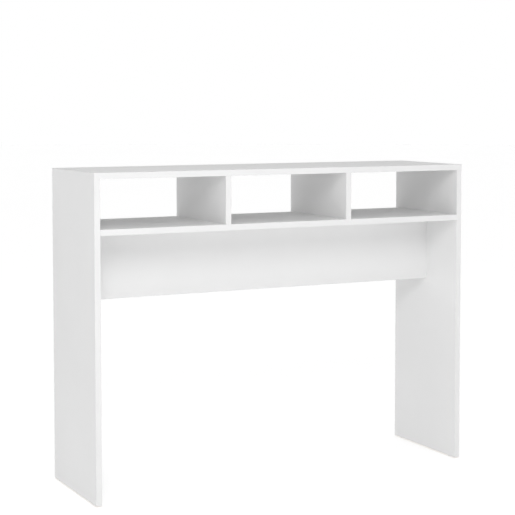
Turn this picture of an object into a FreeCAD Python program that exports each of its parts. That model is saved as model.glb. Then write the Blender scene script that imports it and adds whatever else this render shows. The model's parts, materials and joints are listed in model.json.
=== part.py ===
"""Console table with three open compartments, built as a flat-pack of faced chipboard.

Two full-height side panels carry a top and a shelf. Two dividers stand between the top and the
shelf, and an apron hangs under the shelf at half depth. Cam locks, cam bolts and dowels hold the
panels together, long screws hold the dividers down, and nail-on glides keep the sides off the floor.

Millimetres. +X is the width, to the right from the front, +Y runs from front to back, +Z is up.
The origin is on the floor, at the centre of the footprint. One STEP is written per node.
"""

import FreeCAD
import Part
import math
import os

from FreeCAD import Matrix, Vector

# ---- Driving dimensions of the table -------------------------------------------------------
WIDTH = 1050.0
DEPTH = 300.0
HEIGHT = 800.0
BOARD = 15.0  # thickness of every panel
COMPARTMENT_HEIGHT = 120.0  # clear height between the shelf and the top
APRON_HEIGHT = 171.5
GLIDE_HEIGHT = 2.5  # the sides stand this far off the floor

# ---- Edge bands ----------------------------------------------------------------------------
BAND = 0.8
BAND_ROUND = 0.5

# ---- Where the fittings sit ----------------------------------------------------------------
CAM_FROM_CENTRE = 110.0  # along the depth, in the top's and the shelf's ends
DOWEL_FROM_CENTRE = 78.0
DIVIDER_DOWEL_FROM_CENTRE = 90.0
DIVIDER_SCREW_FROM_CENTRE = 100.0
APRON_CAM_FROM_EDGE = 38.0  # up from the apron's lower edge and down from its upper edge
APRON_TOP_CAMS = (-340.0, 0.0, 340.0)
APRON_TOP_DOWELS = (-425.0, -170.0, 170.0, 425.0)
GLIDE_FROM_CENTRE = 120.0

# ---- Cam lock and cam bolt -----------------------------------------------------------------
CAM_SETBACK = 24.0  # from the panel's end to the cam's axis
CAM_RADIUS = 7.4
CAM_DEPTH = 12.0
CAM_BORE_RADIUS = 7.5
CAM_BORE_DEPTH = 12.5
CAM_RIM_CHAMFER = 0.4
CAM_CAVITY_RADIUS = 5.0
CAM_CAVITY_HALF_HEIGHT = 3.9
CAM_SLOT_HALF_HEIGHT = 2.4  # the bolt's neck runs in this slot
CAM_SLOT_START = 150.0  # degrees about the cam, 180 being towards the bolt
CAM_ENTRY_ANGLE = 315.0  # where the head of the bolt went in before the cam was turned
CAM_ENTRY_RADIUS = 3.7
CROSS_RECESS_SPAN = 6.4
CROSS_RECESS_WIDTH = 1.4
CROSS_RECESS_DEPTH = 2.4
ARROW_DEPTH = 0.4
ARROW_RADIUS = 1.1
ARROW_FROM_AXIS = 5.4

BOLT_THREAD_LENGTH = 11.0
BOLT_TIP_LENGTH = 0.8
BOLT_TIP_RADIUS = 1.4
BOLT_THREAD_RADIUS = 3.1
BOLT_CORE_RADIUS = 2.2
BOLT_PITCH = 2.0
BOLT_COLLAR_RADIUS = 3.7
BOLT_COLLAR_LENGTH = 2.5
BOLT_SHANK_RADIUS = 3.2
BOLT_SHANK_TAPER = 1.0
BOLT_SHANK_END = 15.6
BOLT_NECK_RADIUS = 2.0
BOLT_HEAD_RADIUS = 3.4
BOLT_HEAD_START = 21.2
BOLT_HEAD_END = 27.2
BOLT_HEAD_CHAMFER = 0.8
BOLT_RECESS_SPAN = 3.4
BOLT_RECESS_WIDTH = 0.9
BOLT_RECESS_DEPTH = 1.8
BOLT_HOLE_RADIUS = 4.0

# ---- Dowel ---------------------------------------------------------------------------------
DOWEL_RADIUS = 3.95
DOWEL_FLUTE = 0.35
DOWEL_FLUTES = 16
DOWEL_IN_FACE = 10.0  # the part of a dowel that sits in a panel's face
DOWEL_IN_EDGE = 20.0
DOWEL_CHAMFER = 1.0
DOWEL_HOLE_RADIUS = 4.0

# ---- Divider screw -------------------------------------------------------------------------
SCREW_LENGTH = 50.0
SCREW_HEAD_RADIUS = 4.9
SCREW_HEAD_RIM = 0.5
SCREW_HEAD_DEPTH = 3.0
SCREW_SHOULDER_RADIUS = 3.3
SCREW_SHOULDER_END = 14.5
SCREW_SHOULDER_TAPER = 0.5
SCREW_THREAD_RADIUS = 3.1
SCREW_CORE_RADIUS = 2.1
SCREW_PITCH = 3.0
SCREW_TIP = 3.0
SCREW_TIP_RADIUS = 0.4
HEX_ACROSS_FLATS = 4.0
HEX_DEPTH = 2.8

# ---- Glide and its nail --------------------------------------------------------------------
GLIDE_RADIUS = 6.5
GLIDE_EDGE_ROUND = 0.8
NAIL_SEAT_RADIUS = 2.4
NAIL_SEAT_DEPTH = 1.7
NAIL_HEAD_RADIUS = 2.2
NAIL_HEAD_THICKNESS = 0.7
NAIL_RADIUS = 0.9
NAIL_TOP = 18.0
NAIL_TIP = 2.0
NAIL_TIP_RADIUS = 0.2

# ---- Thread rings, as parts of a pitch -----------------------------------------------------
ROOT_END = 0.35
CREST_START = 0.6
CREST_END = 0.7

CLEARANCE = 0.05  # radial, between a fastener and its hole
HOLE_SPARE = 0.5  # extra depth at the blind end of a hole
PAST_FACE = 1.0  # how far a cutter runs past the face it enters

# ---- Worked out from the above -------------------------------------------------------------
HALF_WIDTH = WIDTH / 2
HALF_DEPTH = DEPTH / 2
HALF_BOARD = BOARD / 2
INNER_HALF_WIDTH = HALF_WIDTH - BOARD
TOP_UNDERSIDE = HEIGHT - BOARD
SHELF_TOP = TOP_UNDERSIDE - COMPARTMENT_HEIGHT
SHELF_UNDERSIDE = SHELF_TOP - BOARD
APRON_BOTTOM = SHELF_UNDERSIDE - APRON_HEIGHT
COMPARTMENT_WIDTH = (2 * INNER_HALF_WIDTH - 2 * BOARD) / 3  # three equal compartments
DIVIDER_X = (COMPARTMENT_WIDTH + BOARD) / 2  # of each divider's middle, from the centre
SIDES = {"left": -1, "right": 1}

X_AXIS = Vector(1, 0, 0)
Y_AXIS = Vector(0, 1, 0)
Z_AXIS = Vector(0, 0, 1)


# ---- Plain shapes --------------------------------------------------------------------------
def box(low, high):
    """A box between two opposite corners."""
    size = [b - a for a, b in zip(low, high)]
    return Part.makeBox(*size, Vector(*low))


def rod(radius, start, end):
    """A cylinder along +X, from one X to another."""
    return Part.makeCylinder(radius, end - start, X_AXIS * start, X_AXIS)


def post(radius, low, high, at=Vector()):
    """A cylinder along +Z, from one Z to another."""
    return Part.makeCylinder(radius, high - low, at + Z_AXIS * low, Z_AXIS)


def turned(outline):
    """The solid turned about the X axis by an outline of (x, radius) points, given from end to end."""
    start, end = outline[0][0], outline[-1][0]
    points = [Vector(start, 0, 0)]
    points += [Vector(x, radius, 0) for x, radius in outline]
    points += [Vector(end, 0, 0), points[0]]
    face = Part.Face(Part.makePolygon(points))
    return face.revolve(Vector(), X_AXIS, 360)


def ridges(start, end, pitch, core, crest):
    """The outline of a screw thread, as rings one pitch apart, between two places along X."""
    count = int((end - start) / pitch)
    step = (end - start) / count
    outline = []
    for ring in range(count):
        at = start + ring * step
        outline += [(at, core), (at + step * ROOT_END, core)]
        outline += [(at + step * CREST_START, crest), (at + step * CREST_END, crest)]
    outline.append((end, core))
    return outline


def regular_prism(corners, radius, start, end):
    """A prism along +X whose section is a regular polygon."""
    turn = 2 * math.pi / corners
    ring = [Vector(start, radius * math.cos(i * turn), radius * math.sin(i * turn)) for i in range(corners)]
    return Part.Face(Part.makePolygon(ring + ring[:1])).extrude(X_AXIS * (end - start))


def cross_cutter(span, width, depth, top):
    """A cross-head recess cut downwards from the height `top`, about the Z axis."""
    half, arm = span / 2, width / 2
    along = box((-half, -arm, top - depth), (half, arm, top + PAST_FACE))
    across = box((-arm, -half, top - depth), (arm, half, top + PAST_FACE))
    return along.fuse(across).removeSplitter()


def placed(shape, origin, along, normal):
    """A copy of a shape, with its +X turned to `along`, its +Z to `normal` and its origin moved."""
    side = normal.cross(along)
    matrix = Matrix(
        along.x, side.x, normal.x, origin.x,
        along.y, side.y, normal.y, origin.y,
        along.z, side.z, normal.z, origin.z,
        0, 0, 0, 1,
    )  # fmt: skip
    copy = shape.copy()
    copy.transformShape(matrix, True)
    return copy


# ---- Fasteners, each at the origin ---------------------------------------------------------
# A fastener's origin is on the joint, where the edge of one panel meets the face of another. Its
# +X points into the panel whose edge is joined, and +Z towards the face that the cam goes in from.
def cam_bolt():
    """Its thread goes into the face at -X, and its head into the cam."""
    thread_start = BOLT_TIP_LENGTH - BOLT_THREAD_LENGTH
    outline = [(-BOLT_THREAD_LENGTH, BOLT_TIP_RADIUS)]
    outline += ridges(thread_start, 0, BOLT_PITCH, BOLT_CORE_RADIUS, BOLT_THREAD_RADIUS)
    outline += [
        (0, BOLT_COLLAR_RADIUS),
        (BOLT_COLLAR_LENGTH, BOLT_COLLAR_RADIUS),
        (BOLT_COLLAR_LENGTH, BOLT_SHANK_RADIUS),
        (BOLT_SHANK_END - BOLT_SHANK_TAPER, BOLT_SHANK_RADIUS),
        (BOLT_SHANK_END, BOLT_NECK_RADIUS),
        (BOLT_HEAD_START, BOLT_NECK_RADIUS),
        (BOLT_HEAD_START + BOLT_HEAD_CHAMFER, BOLT_HEAD_RADIUS),
        (BOLT_HEAD_END - BOLT_HEAD_CHAMFER, BOLT_HEAD_RADIUS),
        (BOLT_HEAD_END, BOLT_HEAD_RADIUS - BOLT_HEAD_CHAMFER),
    ]
    recess = cross_cutter(BOLT_RECESS_SPAN, BOLT_RECESS_WIDTH, BOLT_RECESS_DEPTH, 0)
    recess.rotate(Vector(), Y_AXIS, 90)
    recess.translate(X_AXIS * BOLT_HEAD_END)
    return turned(outline).cut(recess)


def cam_slot():
    """The curved slot that the bolt's neck runs along, cut through the wall of a cam at the origin."""
    inner, outer = CAM_CAVITY_RADIUS - PAST_FACE, CAM_RADIUS + PAST_FACE
    low, high = -CAM_SLOT_HALF_HEIGHT, CAM_SLOT_HALF_HEIGHT
    corners = ((inner, low), (outer, low), (outer, high), (inner, high), (inner, low))
    section = Part.Face(Part.makePolygon([Vector(x, 0, z) for x, z in corners]))
    slot = section.revolve(Vector(), Z_AXIS, CAM_ENTRY_ANGLE - CAM_SLOT_START)
    slot.rotate(Vector(), Z_AXIS, CAM_SLOT_START)
    return slot


def cam_face_marks():
    """The cross recess in a cam's face, and the arrow beside it that points at the entry hole."""
    recess = cross_cutter(CROSS_RECESS_SPAN, CROSS_RECESS_WIDTH, CROSS_RECESS_DEPTH, HALF_BOARD)
    arrow = regular_prism(3, ARROW_RADIUS, -ARROW_DEPTH, PAST_FACE)
    arrow.rotate(Vector(), Y_AXIS, -90)
    arrow.rotate(Vector(), Z_AXIS, 180)
    arrow.translate(Vector(ARROW_FROM_AXIS, 0, HALF_BOARD))
    return [recess, arrow]


def cam_lock():
    """A tightened cam: a drum with a cavity for the bolt's head, an entry hole and a slot for the neck."""
    drum = post(CAM_RADIUS, HALF_BOARD - CAM_DEPTH, HALF_BOARD)
    rims = [edge for edge in drum.Edges if isinstance(edge.Curve, Part.Circle)]
    drum = drum.makeChamfer(CAM_RIM_CHAMFER, rims)
    cavity = post(CAM_CAVITY_RADIUS, -CAM_CAVITY_HALF_HEIGHT, CAM_CAVITY_HALF_HEIGHT)
    entry = rod(CAM_ENTRY_RADIUS, 0, CAM_RADIUS + PAST_FACE)
    turning = [entry, *cam_face_marks()]
    for cutter in turning:
        cutter.rotate(Vector(), Z_AXIS, CAM_ENTRY_ANGLE)
    cam = drum.cut([cavity, cam_slot(), *turning])
    cam.translate(X_AXIS * CAM_SETBACK)
    return cam


def dowel():
    """A fluted wooden pin with chamfered ends."""
    turn = math.pi / DOWEL_FLUTES
    ring = []
    for i in range(2 * DOWEL_FLUTES):
        radius = DOWEL_RADIUS - DOWEL_FLUTE * (i % 2)
        ring.append(Vector(-DOWEL_IN_FACE, radius * math.cos(i * turn), radius * math.sin(i * turn)))
    pin = Part.Face(Part.makePolygon(ring + ring[:1])).extrude(X_AXIS * (DOWEL_IN_FACE + DOWEL_IN_EDGE))
    ends = turned([
        (-DOWEL_IN_FACE, DOWEL_RADIUS - DOWEL_CHAMFER),
        (-DOWEL_IN_FACE + DOWEL_CHAMFER, DOWEL_RADIUS),
        (DOWEL_IN_EDGE - DOWEL_CHAMFER, DOWEL_RADIUS),
        (DOWEL_IN_EDGE, DOWEL_RADIUS - DOWEL_CHAMFER),
    ])
    return pin.common(ends)


def divider_screw():
    """A countersunk screw with a hexagon socket. Its head is flush at -X, one board below the joint."""
    outline = [
        (0, SCREW_HEAD_RADIUS),
        (SCREW_HEAD_RIM, SCREW_HEAD_RADIUS),
        (SCREW_HEAD_DEPTH, SCREW_SHOULDER_RADIUS),
        (SCREW_SHOULDER_END, SCREW_SHOULDER_RADIUS),
    ]
    thread_start = SCREW_SHOULDER_END + SCREW_SHOULDER_TAPER
    thread_end = SCREW_LENGTH - SCREW_TIP
    outline += ridges(thread_start, thread_end, SCREW_PITCH, SCREW_CORE_RADIUS, SCREW_THREAD_RADIUS)
    outline.append((SCREW_LENGTH, SCREW_TIP_RADIUS))
    socket = regular_prism(6, HEX_ACROSS_FLATS / math.sqrt(3), -PAST_FACE, HEX_DEPTH)
    screw = turned(outline).cut(socket)
    screw.translate(X_AXIS * -BOARD)
    return screw


def glide():
    """A round pad under a side panel, with a seat for its nail's head."""
    pad = post(GLIDE_RADIUS, 0, GLIDE_HEIGHT)
    foot = [e for e in pad.Edges if isinstance(e.Curve, Part.Circle) and e.BoundBox.ZMax < CLEARANCE]
    pad = pad.makeFillet(GLIDE_EDGE_ROUND, foot)
    seat = post(NAIL_SEAT_RADIUS, -PAST_FACE, NAIL_SEAT_DEPTH)
    hole = post(NAIL_RADIUS + CLEARANCE, 0, GLIDE_HEIGHT + PAST_FACE)
    return pad.cut([seat, hole])


def glide_nail():
    """The steel nail that holds a glide, along +Z."""
    head_bottom = NAIL_SEAT_DEPTH - NAIL_HEAD_THICKNESS
    nail = turned([
        (head_bottom, NAIL_HEAD_RADIUS),
        (NAIL_SEAT_DEPTH, NAIL_HEAD_RADIUS),
        (NAIL_SEAT_DEPTH, NAIL_RADIUS),
        (NAIL_TOP - NAIL_TIP, NAIL_RADIUS),
        (NAIL_TOP, NAIL_TIP_RADIUS),
    ])
    nail.rotate(Vector(), Y_AXIS, -90)
    return nail


# ---- Cutters for the holes, in the same local frames ---------------------------------------
def cam_cutters():
    """(cutter for the panel with the cam, cutter for the panel that the bolt is screwed into)"""
    bore_end = HALF_BOARD - CAM_BORE_DEPTH
    bore = post(CAM_BORE_RADIUS, bore_end, HALF_BOARD + PAST_FACE, X_AXIS * CAM_SETBACK)
    passage = rod(BOLT_HOLE_RADIUS, -PAST_FACE, CAM_SETBACK)
    pilot = rod(BOLT_THREAD_RADIUS + CLEARANCE, -BOLT_THREAD_LENGTH - HOLE_SPARE, PAST_FACE)
    return bore.fuse(passage), pilot


def dowel_cutters():
    """(cutter for the panel's edge, cutter for the other panel's face)"""
    in_edge = rod(DOWEL_HOLE_RADIUS, -PAST_FACE, DOWEL_IN_EDGE + HOLE_SPARE)
    in_face = rod(DOWEL_HOLE_RADIUS, -DOWEL_IN_FACE - HOLE_SPARE, PAST_FACE)
    return in_edge, in_face


def screw_cutters():
    """(cutter for the divider's edge, cutter right through the shelf)"""
    in_edge = rod(SCREW_THREAD_RADIUS + CLEARANCE, -PAST_FACE, SCREW_LENGTH - BOARD + HOLE_SPARE)
    head = SCREW_HEAD_RADIUS + CLEARANCE
    shoulder = SCREW_SHOULDER_RADIUS + CLEARANCE
    through = turned([
        (-BOARD - PAST_FACE, head),
        (-BOARD + SCREW_HEAD_RIM, head),
        (-BOARD + SCREW_HEAD_DEPTH, shoulder),
        (PAST_FACE, shoulder),
    ])
    return in_edge, through


# ---- Panels and their edge bands -----------------------------------------------------------
def panel_boxes():
    """{panel: (lowest corner, highest corner)} of each panel with its edge bands on."""
    across = {
        "top_panel": (HALF_DEPTH, TOP_UNDERSIDE, HEIGHT),
        "shelf_panel": (HALF_DEPTH, SHELF_UNDERSIDE, SHELF_TOP),
        "apron_panel": (HALF_BOARD, APRON_BOTTOM, SHELF_UNDERSIDE),
    }
    boxes = {}
    for panel, (half_depth, low, high) in across.items():
        boxes[panel] = ((-INNER_HALF_WIDTH, -half_depth, low), (INNER_HALF_WIDTH, half_depth, high))
    for side, sign in SIDES.items():
        low, high = sorted((sign * HALF_WIDTH, sign * INNER_HALF_WIDTH))
        divider = sign * DIVIDER_X
        boxes[f"{side}_side_panel"] = ((low, -HALF_DEPTH, GLIDE_HEIGHT), (high, HALF_DEPTH, HEIGHT))
        boxes[f"{side}_divider"] = (
            (divider - HALF_BOARD, -HALF_DEPTH, SHELF_TOP),
            (divider + HALF_BOARD, HALF_DEPTH, TOP_UNDERSIDE),
        )
    return boxes


# The banded edges: the axis that each faces along, which end of it (0 low, 1 high), and its name.
FRONT, REAR, TOP, BOTTOM = (1, 0, "front"), (1, 1, "rear"), (2, 1, "top"), (2, 0, "bottom")
BANDED = {
    "top_panel": (FRONT, REAR),
    "shelf_panel": (FRONT, REAR),
    "apron_panel": (BOTTOM,),
    "left_side_panel": (FRONT, REAR, TOP),
    "right_side_panel": (FRONT, REAR, TOP),
    "left_divider": (FRONT, REAR),
    "right_divider": (FRONT, REAR),
}


def edge_band(low, high, axis, end):
    """A strip with its two long outer edges rounded. `end` is 1 where its outer face is the higher one."""
    strip = box(low, high)
    outer = (low, high)[end][axis]

    def is_rounded(edge):
        at_outer_face = all(abs(vertex.Point[axis] - outer) < CLEARANCE for vertex in edge.Vertexes)
        return at_outer_face and edge.Length > 2 * BOARD

    return strip.makeFillet(BAND_ROUND, [edge for edge in strip.Edges if is_rounded(edge)])


def make_panels():
    """({panel: its board, before any hole}, {band: its strip}). A board stops short by its bands."""
    boards, bands = {}, {}
    for panel, (low, high) in panel_boxes().items():
        low, high = list(low), list(high)
        for axis, end, place in BANDED[panel]:
            strip_low, strip_high = list(low), list(high)
            if end:
                strip_low[axis] = high[axis] = high[axis] - BAND
            else:
                strip_high[axis] = low[axis] = low[axis] + BAND
            name = panel.removesuffix("_panel")
            bands[f"{name}_{place}_edge_band"] = edge_band(strip_low, strip_high, axis, end)
        boards[panel] = box(low, high)
    return boards, bands


# ---- Joints: where each fastener goes ------------------------------------------------------
def joints():
    """One row per joint, with its name, the panel joined by its edge and the panel joined by its face.

    Then come the direction away from that face, the direction the cams face, the places of the cam
    bolts and the places of the dowels."""
    rows = []
    middles = {"top": TOP_UNDERSIDE + HALF_BOARD, "shelf": SHELF_UNDERSIDE + HALF_BOARD}
    for side, sign in SIDES.items():
        inward = X_AXIS * -sign
        wall = sign * INNER_HALF_WIDTH
        for name, middle in middles.items():
            cams = [Vector(wall, y, middle) for y in (-CAM_FROM_CENTRE, CAM_FROM_CENTRE)]
            dowels = [Vector(wall, y, middle) for y in (-DOWEL_FROM_CENTRE, DOWEL_FROM_CENTRE)]
            panels = (f"{name}_panel", f"{side}_side_panel")
            rows.append((f"{name}_{side}", *panels, inward, Z_AXIS * -1, cams, dowels))
        low, high = APRON_BOTTOM + APRON_CAM_FROM_EDGE, SHELF_UNDERSIDE - APRON_CAM_FROM_EDGE
        cams = [Vector(wall, 0, z) for z in (low, high)]
        dowels = [Vector(wall, 0, (low + high) / 2)]
        panels = ("apron_panel", f"{side}_side_panel")
        rows.append((f"apron_{side}", *panels, inward, Y_AXIS, cams, dowels))
    cams = [Vector(x, 0, SHELF_UNDERSIDE) for x in APRON_TOP_CAMS]
    dowels = [Vector(x, 0, SHELF_UNDERSIDE) for x in APRON_TOP_DOWELS]
    rows.append(("apron_shelf", "apron_panel", "shelf_panel", Z_AXIS * -1, Y_AXIS, cams, dowels))
    return rows


def fit_cam_joints(nodes, holes):
    """Cam locks, cam bolts and dowels between panels, with their holes."""
    lock, bolt, pin = cam_lock(), cam_bolt(), dowel()
    cam_in_edge, bolt_in_face = cam_cutters()
    dowel_in_edge, dowel_in_face = dowel_cutters()
    for name, edge_panel, face_panel, along, normal, cams, dowels in joints():
        nodes[f"{name}_cam_locks"] = [placed(lock, at, along, normal) for at in cams]
        nodes[f"{name}_cam_bolts"] = [placed(bolt, at, along, normal) for at in cams]
        nodes[f"{name}_dowels"] = [placed(pin, at, along, normal) for at in dowels]
        holes[edge_panel] += [placed(cam_in_edge, at, along, normal) for at in cams]
        holes[face_panel] += [placed(bolt_in_face, at, along, normal) for at in cams]
        holes[edge_panel] += [placed(dowel_in_edge, at, along, normal) for at in dowels]
        holes[face_panel] += [placed(dowel_in_face, at, along, normal) for at in dowels]


def fit_dividers(nodes, holes):
    """Dowels at the top of each divider, and screws up through the shelf into its foot."""
    pin, screw = dowel(), divider_screw()
    dowel_in_edge, dowel_in_face = dowel_cutters()
    screw_in_edge, screw_in_shelf = screw_cutters()
    down, up = Z_AXIS * -1, Z_AXIS
    for side, sign in SIDES.items():
        divider, x = f"{side}_divider", sign * DIVIDER_X
        for y in (-DIVIDER_DOWEL_FROM_CENTRE, DIVIDER_DOWEL_FROM_CENTRE):
            at = Vector(x, y, TOP_UNDERSIDE)
            nodes.setdefault(f"{divider}_dowels", []).append(placed(pin, at, down, Y_AXIS))
            holes[divider].append(placed(dowel_in_edge, at, down, Y_AXIS))
            holes["top_panel"].append(placed(dowel_in_face, at, down, Y_AXIS))
        for y in (-DIVIDER_SCREW_FROM_CENTRE, DIVIDER_SCREW_FROM_CENTRE):
            at = Vector(x, y, SHELF_TOP)
            nodes.setdefault(f"{divider}_screws", []).append(placed(screw, at, up, Y_AXIS))
            holes[divider].append(placed(screw_in_edge, at, up, Y_AXIS))
            holes["shelf_panel"].append(placed(screw_in_shelf, at, up, Y_AXIS))


def fit_glides(nodes, holes):
    """Two nailed glides under each side panel."""
    pad, nail = glide(), glide_nail()
    hole = post(NAIL_RADIUS + CLEARANCE, 0, NAIL_TOP + HOLE_SPARE)
    for side, sign in SIDES.items():
        for y in (-GLIDE_FROM_CENTRE, GLIDE_FROM_CENTRE):
            at = Vector(sign * (HALF_WIDTH - HALF_BOARD), y, 0)
            nodes.setdefault(f"{side}_foot_glides", []).append(placed(pad, at, X_AXIS, Z_AXIS))
            nodes.setdefault(f"{side}_foot_nails", []).append(placed(nail, at, X_AXIS, Z_AXIS))
            holes[f"{side}_side_panel"].append(placed(hole, at, X_AXIS, Z_AXIS))


def build():
    """{node: its solids}"""
    boards, bands = make_panels()
    nodes = {name: [strip] for name, strip in bands.items()}
    holes = {panel: [] for panel in boards}
    fit_cam_joints(nodes, holes)
    fit_dividers(nodes, holes)
    fit_glides(nodes, holes)
    for panel, board in boards.items():
        nodes[panel] = [board.cut(holes[panel])]
    return nodes


def main():
    os.makedirs("parts", exist_ok=True)
    for name, shapes in sorted(build().items()):
        solids = [solid for shape in shapes for solid in shape.Solids]
        if len(solids) != len(shapes) or not all(solid.isValid() for solid in solids):
            raise ValueError(f"{name} has a shape that isn't one valid solid")
        whole = solids[0] if len(solids) == 1 else Part.makeCompound(solids)
        whole.exportStep(os.path.join("parts", f"{name}.step"))


main()
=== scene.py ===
"""Looks of the white console table: faced board, edge bands, fittings, floor, light and camera.

Metres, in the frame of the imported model: +X is the width, +Y runs from front to back, +Z is up, and
the origin is on the floor under the table's middle. Every piece that shows is a CAD node. This script
gives each one a procedural material and sets a pale studio around it.
"""

import json
import math

import bpy
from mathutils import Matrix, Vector


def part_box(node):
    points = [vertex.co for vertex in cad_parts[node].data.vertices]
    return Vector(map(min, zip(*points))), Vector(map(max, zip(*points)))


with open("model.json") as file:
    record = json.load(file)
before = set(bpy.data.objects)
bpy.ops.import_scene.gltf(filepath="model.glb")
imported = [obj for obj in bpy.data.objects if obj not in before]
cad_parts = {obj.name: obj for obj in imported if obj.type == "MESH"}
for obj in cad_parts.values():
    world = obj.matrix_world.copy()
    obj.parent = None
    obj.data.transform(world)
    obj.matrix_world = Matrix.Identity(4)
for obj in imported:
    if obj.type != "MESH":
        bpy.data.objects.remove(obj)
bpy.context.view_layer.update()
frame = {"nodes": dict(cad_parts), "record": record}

AXES = "xyz"
DEPTH = AXES.index("y")

# ---- Camera --------------------------------------------------------------------------------
LENS_MM = 99.33
CAMERA_PLACE = Vector((-1.7088, -3.2965, 0.9628))
CAMERA_TURN = 27.19  # degrees clockwise from +Y, seen from above
CAMERA_TILT = -3.6  # degrees above the horizontal
CAMERA_SHIFT = -0.125  # spares the camera some tilt, so that the uprights stay nearly upright
LOOK_LEVEL = 90.0  # degrees that turn a camera from looking down to looking level

# ---- Light: the sky's brightness, where 1 shows as plain white --------------------------------
HORIZON_BRIGHTNESS = 1.0
HORIZON_TOP = 5.0  # degrees up, where the white horizon starts to fade
HORIZON_END = 9.0  # degrees up, where it has faded out
DIM_SKY = 0.17  # everywhere above the white horizon
OVERHEAD_BRIGHTNESS = 1.87  # what straight overhead has on top of the dim sky
OVERHEAD_NARROWNESS = 4  # power of the sine of the angle up
SOFT_BOX_PLACE = Vector((-1.2, -2.4, 2.0))
SOFT_BOX_AIM = Vector((0, 0, 0.45))
SOFT_BOX_SIZE = 1.0
SOFT_BOX_WATTS = 30.0

# ---- Floor ---------------------------------------------------------------------------------
FLOOR_RADIUS = 30.0
FLOOR_SIDES = 128
FLOOR_COLOR = (0.6, 0.6, 0.6, 1.0)
FLOOR_GLOW = 0.51  # brings the lit grey up to plain white, and keeps the shadows on it faint
FLOOR_CLOUD_SHADE = 0.99  # of the floor's darker patches

# ---- Board and band ------------------------------------------------------------------------
BOARD_WHITE = (0.8, 0.8, 0.8, 1.0)
BAND_WHITE = (0.8, 0.8, 0.8, 1.0)
CLOUD_SHADES = (0.985, 1.01)  # darkest and lightest of the faint clouds in a white surface
FACE_PAPER = 0.00025  # thickness of the white resin paper on each face
PEARL_HEIGHT = 0.12  # height of the paper's pearl texture, where the flakes of the core have 1
CUT_ROUGHNESS = 0.85  # of the bare core
GLUE_LINE = 0.00015  # width of the dark glue that shows between a board's face and its bands
GLUE_SHADE = 0.62  # of the board's white
FLAKE_STRETCH = (1.0, 1.0, 1.6)  # scale of the core's flakes along X, Y and Z
FLAKE_BROWN = (0.27, 0.19, 0.125, 1.0)
FLAKE_TAN = (0.5, 0.385, 0.265, 1.0)
FLAKE_HONEY = (0.7, 0.585, 0.44, 1.0)
SCRAPER_MARKS = 2700.0  # scale of the edge scraper's marks across a band
SCRAPER_DRIFT = 40.0  # their scale along it

# ---- Fittings ------------------------------------------------------------------------------
ZINC_TONES = ((0.36, 0.36, 0.355, 1.0), (0.62, 0.62, 0.605, 1.0))
BOLT_TONES = ((0.62, 0.66, 0.72, 1.0), (0.72, 0.69, 0.6, 1.0))
SCREW_TONES = ((0.56, 0.6, 0.68, 1.0), (0.7, 0.64, 0.5, 1.0))
BEECH_TONES = ((0.4, 0.22, 0.1, 1.0), (0.66, 0.44, 0.25, 1.0))
BEECH_FIBRES = (60.0, 900.0, 900.0)  # scale of the fibres along X, Y and Z
BEECH_FLECKS = (300.0, 2400.0, 2400.0)
FIBRE_SHARE = 0.6  # of the grain, and the flecks have the rest
PLASTIC_TONES = ((0.62, 0.62, 0.6, 1.0), (0.7, 0.7, 0.68, 1.0))

# ---- Noise: the values between which one tone turns into the other ------------------------------
SOFT_TURN = (0.3, 0.7)
CRISP_TURN = (0.35, 0.65)

# ---- Places of the colour sockets on a Mix node, which share their names with other sockets ------
MIX_FIRST = 6
MIX_SECOND = 7
MIX_RESULT = 2


# ---- Nodes ---------------------------------------------------------------------------------
def plug(tree, socket, value):
    """Sets a socket to a plain value, or links it to another node's output."""
    if isinstance(value, bpy.types.NodeSocket):
        tree.links.new(value, socket)
    else:
        socket.default_value = value


def plug_named(tree, node, inputs):
    """Feeds a node's inputs by name, where an underscore stands for a space."""
    for name, value in inputs.items():
        plug(tree, node.inputs[name.replace("_", " ")], value)


def operate(tree, operation, *values):
    """A Math node in a tree, fed with numbers or other nodes' outputs."""
    made = tree.nodes.new("ShaderNodeMath")
    made.operation = operation
    for socket, value in zip(made.inputs, values):
        plug(tree, socket, value)
    return made.outputs[0]


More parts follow.
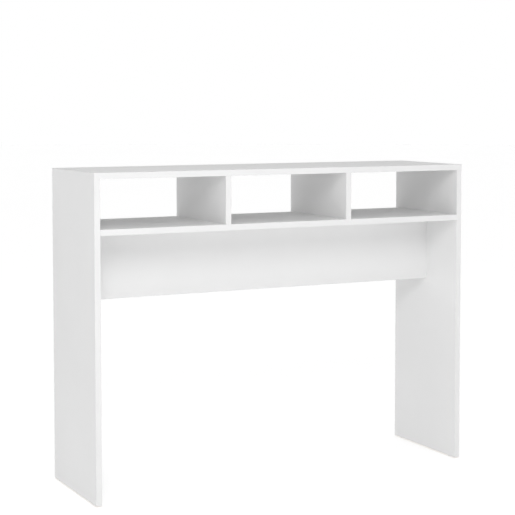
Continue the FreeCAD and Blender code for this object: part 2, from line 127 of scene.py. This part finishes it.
class Graph:
    """A material's node tree, with short calls that add a node, feed it and give its output."""

    def __init__(self, name):
        self.material = bpy.data.materials.new(name)
        self.material.use_nodes = True
        self.tree = self.material.node_tree
        self.shader = self.tree.nodes["Principled BSDF"]

    def node(self, kind, **inputs):
        """A new node of one kind, with its inputs fed by name."""
        made = self.tree.nodes.new(kind)
        plug_named(self.tree, made, inputs)
        return made

    def math(self, operation, *values):
        return operate(self.tree, operation, *values)

    def position(self):
        """The place on the object, in metres."""
        return self.node("ShaderNodeTexCoord").outputs["Object"]

    def scaled(self, vector, scale):
        return self.node("ShaderNodeMapping", Vector=vector, Scale=scale).outputs["Vector"]

    def noise(self, vector, scale, detail=2.0, roughness=0.5):
        made = self.node("ShaderNodeTexNoise", Vector=vector, Scale=scale)
        plug_named(self.tree, made, {"Detail": detail, "Roughness": roughness})
        return made.outputs["Fac"]

    def cells(self, vector, scale):
        """A random tone for each of many small cells."""
        return self.node("ShaderNodeTexVoronoi", Vector=vector, Scale=scale).outputs["Color"]

    def ramp(self, value, *stops):
        """A colour for each value, from (place, colour) stops in rising order."""
        made = self.node("ShaderNodeValToRGB", Fac=value)
        elements = made.color_ramp.elements
        while len(elements) < len(stops):
            elements.new(0.5)  # a place between the two first ones, until the loop below sets it
        for element, (place, color) in zip(elements, stops):
            element.position = place
            element.color = color
        return made.outputs["Color"]

    def two_tones(self, value, tones, turn=SOFT_TURN):
        """A colour that goes from one tone to the other as the value goes through the turn."""
        return self.ramp(value, *zip(turn, tones))

    def clouded(self, vector, scale, color):
        """A colour with faint lighter and darker clouds in it."""
        cloud = self.noise(vector, scale, detail=3.0)
        return self.two_tones(cloud, [tinted(color, shade) for shade in CLOUD_SHADES])

    def blend(self, amount, first, second):
        """The first colour where the amount is 0, and the second where it is 1."""
        made = self.node("ShaderNodeMix")
        made.data_type = "RGBA"
        plug(self.tree, made.inputs["Factor"], amount)
        plug(self.tree, made.inputs[MIX_FIRST], first)
        plug(self.tree, made.inputs[MIX_SECOND], second)
        return made.outputs[MIX_RESULT]

    def between(self, value, low, high):
        """A value from 0 to 1 spread over low to high."""
        return self.node("ShaderNodeMapRange", Value=value, To_Min=low, To_Max=high).outputs["Result"]

    def bump(self, height, distance):
        return self.node("ShaderNodeBump", Height=height, Distance=distance).outputs["Normal"]

    def finish(self, **inputs):
        """Feeds the shader's inputs and gives the finished material."""
        plug_named(self.tree, self.shader, inputs)
        return self.material


def grey(value):
    return (value, value, value, 1.0)


def tinted(color, factor):
    """A colour made lighter or darker."""
    return tuple(channel * factor for channel in color[:3]) + (1.0,)


# ---- Board ---------------------------------------------------------------------------------
def chipboard(graph, place):
    """(colour, height) of a board's bare core: pressed wood flakes, from brown to honey."""
    flakes = graph.cells(graph.scaled(place, FLAKE_STRETCH), scale=420.0)
    tone = graph.noise(place, scale=160.0, detail=5.0, roughness=0.7)
    mean = graph.math("MULTIPLY", graph.math("ADD", flakes, tone), 0.5)
    color = graph.ramp(mean, (0.2, FLAKE_BROWN), (0.5, FLAKE_TAN), (0.8, FLAKE_HONEY))
    return color, mean


def distance_to_ends(graph, along, low, high):
    """How far a place is from the nearer of two planes across an axis."""
    from_low = graph.math("ABSOLUTE", graph.math("SUBTRACT", along, low))
    from_high = graph.math("ABSOLUTE", graph.math("SUBTRACT", along, high))
    return graph.math("MINIMUM", from_low, from_high)


def ordered_axes(node):
    """The axes 0 to 2, from the one that a node is thinnest along to the one that it is longest along."""
    low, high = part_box(node)
    return sorted(range(len(AXES)), key=lambda axis: high[axis] - low[axis])


def melamine(node):
    """White resin paper on both faces, chipboard wherever the board is cut, dark glue by the bands."""
    graph = Graph(f"melamine_{node}")
    place = graph.position()
    along = graph.node("ShaderNodeSeparateXYZ", Vector=place).outputs
    low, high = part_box(node)
    thin = ordered_axes(node)[0]
    depth_in = distance_to_ends(graph, along[thin], low[thin], high[thin])
    on_face = graph.math("LESS_THAN", depth_in, FACE_PAPER)

    white = graph.clouded(place, scale=5.0, color=BOARD_WHITE)
    if thin != DEPTH:
        to_band = distance_to_ends(graph, along[DEPTH], low[DEPTH], high[DEPTH])
        on_glue = graph.math("LESS_THAN", to_band, GLUE_LINE)
        white = graph.blend(on_glue, white, tinted(BOARD_WHITE, GLUE_SHADE))
    core_color, core_height = chipboard(graph, place)

    pearl = graph.math("MULTIPLY", graph.noise(place, scale=1400.0), PEARL_HEIGHT)
    satin = graph.between(graph.noise(place, scale=60.0, detail=4.0), low=0.34, high=0.44)
    off_face = graph.math("SUBTRACT", 1.0, on_face)
    return graph.finish(
        Base_Color=graph.blend(on_face, core_color, white),
        Roughness=graph.math("MAXIMUM", satin, graph.math("MULTIPLY", off_face, CUT_ROUGHNESS)),
        IOR=1.5,
        Normal=graph.bump(graph.blend(on_face, core_height, pearl), distance=0.0003),
    )


def edge_band(along):
    """White ABS strip that runs along one axis, with faint marks along it from the edge scraper."""
    graph = Graph("edge_band_" + AXES[along])
    place = graph.position()
    stretch = [SCRAPER_DRIFT if axis == along else SCRAPER_MARKS for axis in range(len(AXES))]
    scraped = graph.noise(graph.scaled(place, stretch), scale=1.0, detail=3.0)
    return graph.finish(
        Base_Color=graph.clouded(place, scale=9.0, color=BAND_WHITE),
        Roughness=graph.between(graph.noise(place, scale=90.0, detail=4.0), low=0.3, high=0.4),
        IOR=1.48,
        Normal=graph.bump(scraped, distance=0.00002),
    )


# ---- Fittings ------------------------------------------------------------------------------
def cast_zinc():
    """Dull die-cast zinc, with the grain of the die and darker flow patches."""
    graph = Graph("cast_zinc")
    place = graph.position()
    patches = graph.noise(place, scale=350.0, detail=5.0, roughness=0.65)
    grain = graph.noise(place, scale=4200.0, detail=3.0)
    return graph.finish(
        Base_Color=graph.two_tones(patches, ZINC_TONES),
        Metallic=1.0,
        Roughness=graph.between(patches, low=0.38, high=0.58),
        Normal=graph.bump(grain, distance=0.00005),
    )


def plated_steel(name, tones):
    """Zinc-plated steel: bright and finely grained, with a faint play of blue and straw."""
    graph = Graph(name)
    place = graph.position()
    play = graph.noise(place, scale=260.0, detail=3.0)
    fine = graph.noise(place, scale=3000.0, detail=4.0)
    return graph.finish(
        Base_Color=graph.two_tones(play, tones, CRISP_TURN),
        Metallic=1.0,
        Roughness=graph.between(fine, low=0.2, high=0.36),
        Normal=graph.bump(fine, distance=0.00002),
    )


def beech():
    """Bare beech with short darker flecks along the table's width, as most of the dowels lie."""
    graph = Graph("beech")
    place = graph.position()
    fibres = graph.noise(graph.scaled(place, BEECH_FIBRES), scale=1.0, detail=4.0)
    flecks = graph.noise(graph.scaled(place, BEECH_FLECKS), scale=1.0, detail=1.0)
    grain = graph.math(
        "ADD",
        graph.math("MULTIPLY", fibres, FIBRE_SHARE),
        graph.math("MULTIPLY", flecks, 1.0 - FIBRE_SHARE),
    )
    return graph.finish(
        Base_Color=graph.two_tones(grain, BEECH_TONES, CRISP_TURN),
        Roughness=graph.between(fibres, low=0.55, high=0.75),
        Normal=graph.bump(grain, distance=0.0001),
    )


def moulded_plastic():
    """Slightly milky white plastic with a fine spark-eroded skin."""
    graph = Graph("moulded_plastic")
    place = graph.position()
    skin = graph.noise(place, scale=2600.0)
    cloud = graph.noise(place, scale=120.0)
    return graph.finish(
        Base_Color=graph.two_tones(cloud, PLASTIC_TONES),
        Roughness=graph.between(skin, low=0.42, high=0.58),
        IOR=1.5,
        Subsurface_Weight=0.1,
        Normal=graph.bump(skin, distance=0.00006),
    )


def give(node, material):
    """Puts a material in every slot of a CAD node's mesh."""
    mesh = frame["nodes"][node].data
    if not mesh.materials:
        mesh.materials.append(material)
    for place in range(len(mesh.materials)):
        mesh.materials[place] = material


def dress_table():
    """Gives each CAD node the material of its slot. A board's own box shapes its material."""
    bands = [edge_band(axis) for axis in range(len(AXES))]
    shared = {
        "cam_zinc": cast_zinc(),
        "bolt_steel": plated_steel("bolt_steel", BOLT_TONES),
        "screw_steel": plated_steel("screw_steel", SCREW_TONES),
        "beech": beech(),
        "glide_plastic": moulded_plastic(),
    }
    for part in frame["record"]["subparts"]:
        node, slot = part["node"], part["material_slot"]
        if slot == "melamine_board":
            give(node, melamine(node))
        elif slot == "edge_band":
            longest = ordered_axes(node)[-1]
            give(node, bands[longest])
        else:
            give(node, shared[slot])


# ---- Studio --------------------------------------------------------------------------------
def make_floor():
    """A wide pale disc that glows a little, so that it shows as plain white."""
    bpy.ops.mesh.primitive_circle_add(vertices=FLOOR_SIDES, radius=FLOOR_RADIUS, fill_type="NGON")
    floor = bpy.context.object
    floor.name = "floor"
    graph = Graph("floor")
    cloud = graph.noise(graph.position(), scale=0.7)
    tones = (tinted(FLOOR_COLOR, FLOOR_CLOUD_SHADE), FLOOR_COLOR)
    floor.data.materials.append(
        graph.finish(
            Base_Color=graph.two_tones(cloud, tones),
            Roughness=0.9,
            Emission_Color=grey(1.0),
            Emission_Strength=FLOOR_GLOW,
        )
    )


def horizon(tree, height):
    """White near and below the horizon, fading to the dim sky above it."""
    fade = tree.nodes.new("ShaderNodeMapRange")
    fade.interpolation_type = "SMOOTHSTEP"
    levels = {
        "Value": height,
        "From_Min": math.sin(math.radians(HORIZON_TOP)),
        "From_Max": math.sin(math.radians(HORIZON_END)),
        "To_Min": HORIZON_BRIGHTNESS,
        "To_Max": DIM_SKY,
    }
    plug_named(tree, fade, levels)
    return fade.outputs["Result"]


def light_sky():
    """A plain white horizon, and a broad soft light overhead in a dim sky."""
    world = bpy.data.worlds.new("studio")
    world.use_nodes = True
    bpy.context.scene.world = world
    tree = world.node_tree
    axes = tree.nodes.new("ShaderNodeSeparateXYZ")
    plug(tree, axes.inputs["Vector"], tree.nodes.new("ShaderNodeTexCoord").outputs["Generated"])
    height = axes.outputs["Z"]
    above = operate(tree, "MAXIMUM", height, 0.0)
    overhead = operate(tree, "POWER", above, OVERHEAD_NARROWNESS)
    level = operate(tree, "MULTIPLY_ADD", overhead, OVERHEAD_BRIGHTNESS, horizon(tree, height))
    plug_named(tree, tree.nodes["Background"], {"Color": grey(1.0), "Strength": level})


def add_soft_box():
    """One soft box, high at the left front."""
    light = bpy.data.lights.new("soft_box", "AREA")
    light.size = SOFT_BOX_SIZE
    light.energy = SOFT_BOX_WATTS
    box = bpy.data.objects.new("soft_box", light)
    bpy.context.scene.collection.objects.link(box)
    box.location = SOFT_BOX_PLACE
    box.rotation_euler = (SOFT_BOX_PLACE - SOFT_BOX_AIM).to_track_quat("Z", "Y").to_euler()


def place_camera():
    camera = bpy.data.objects.new("camera", bpy.data.cameras.new("camera"))
    bpy.context.scene.collection.objects.link(camera)
    camera.data.lens = LENS_MM
    camera.data.shift_y = CAMERA_SHIFT
    camera.location = CAMERA_PLACE
    camera.rotation_euler = (math.radians(LOOK_LEVEL + CAMERA_TILT), 0, math.radians(-CAMERA_TURN))
    bpy.context.scene.camera = camera


bpy.context.scene.view_settings.view_transform = "Standard"
dress_table()
make_floor()
light_sky()
add_soft_box()
place_camera()
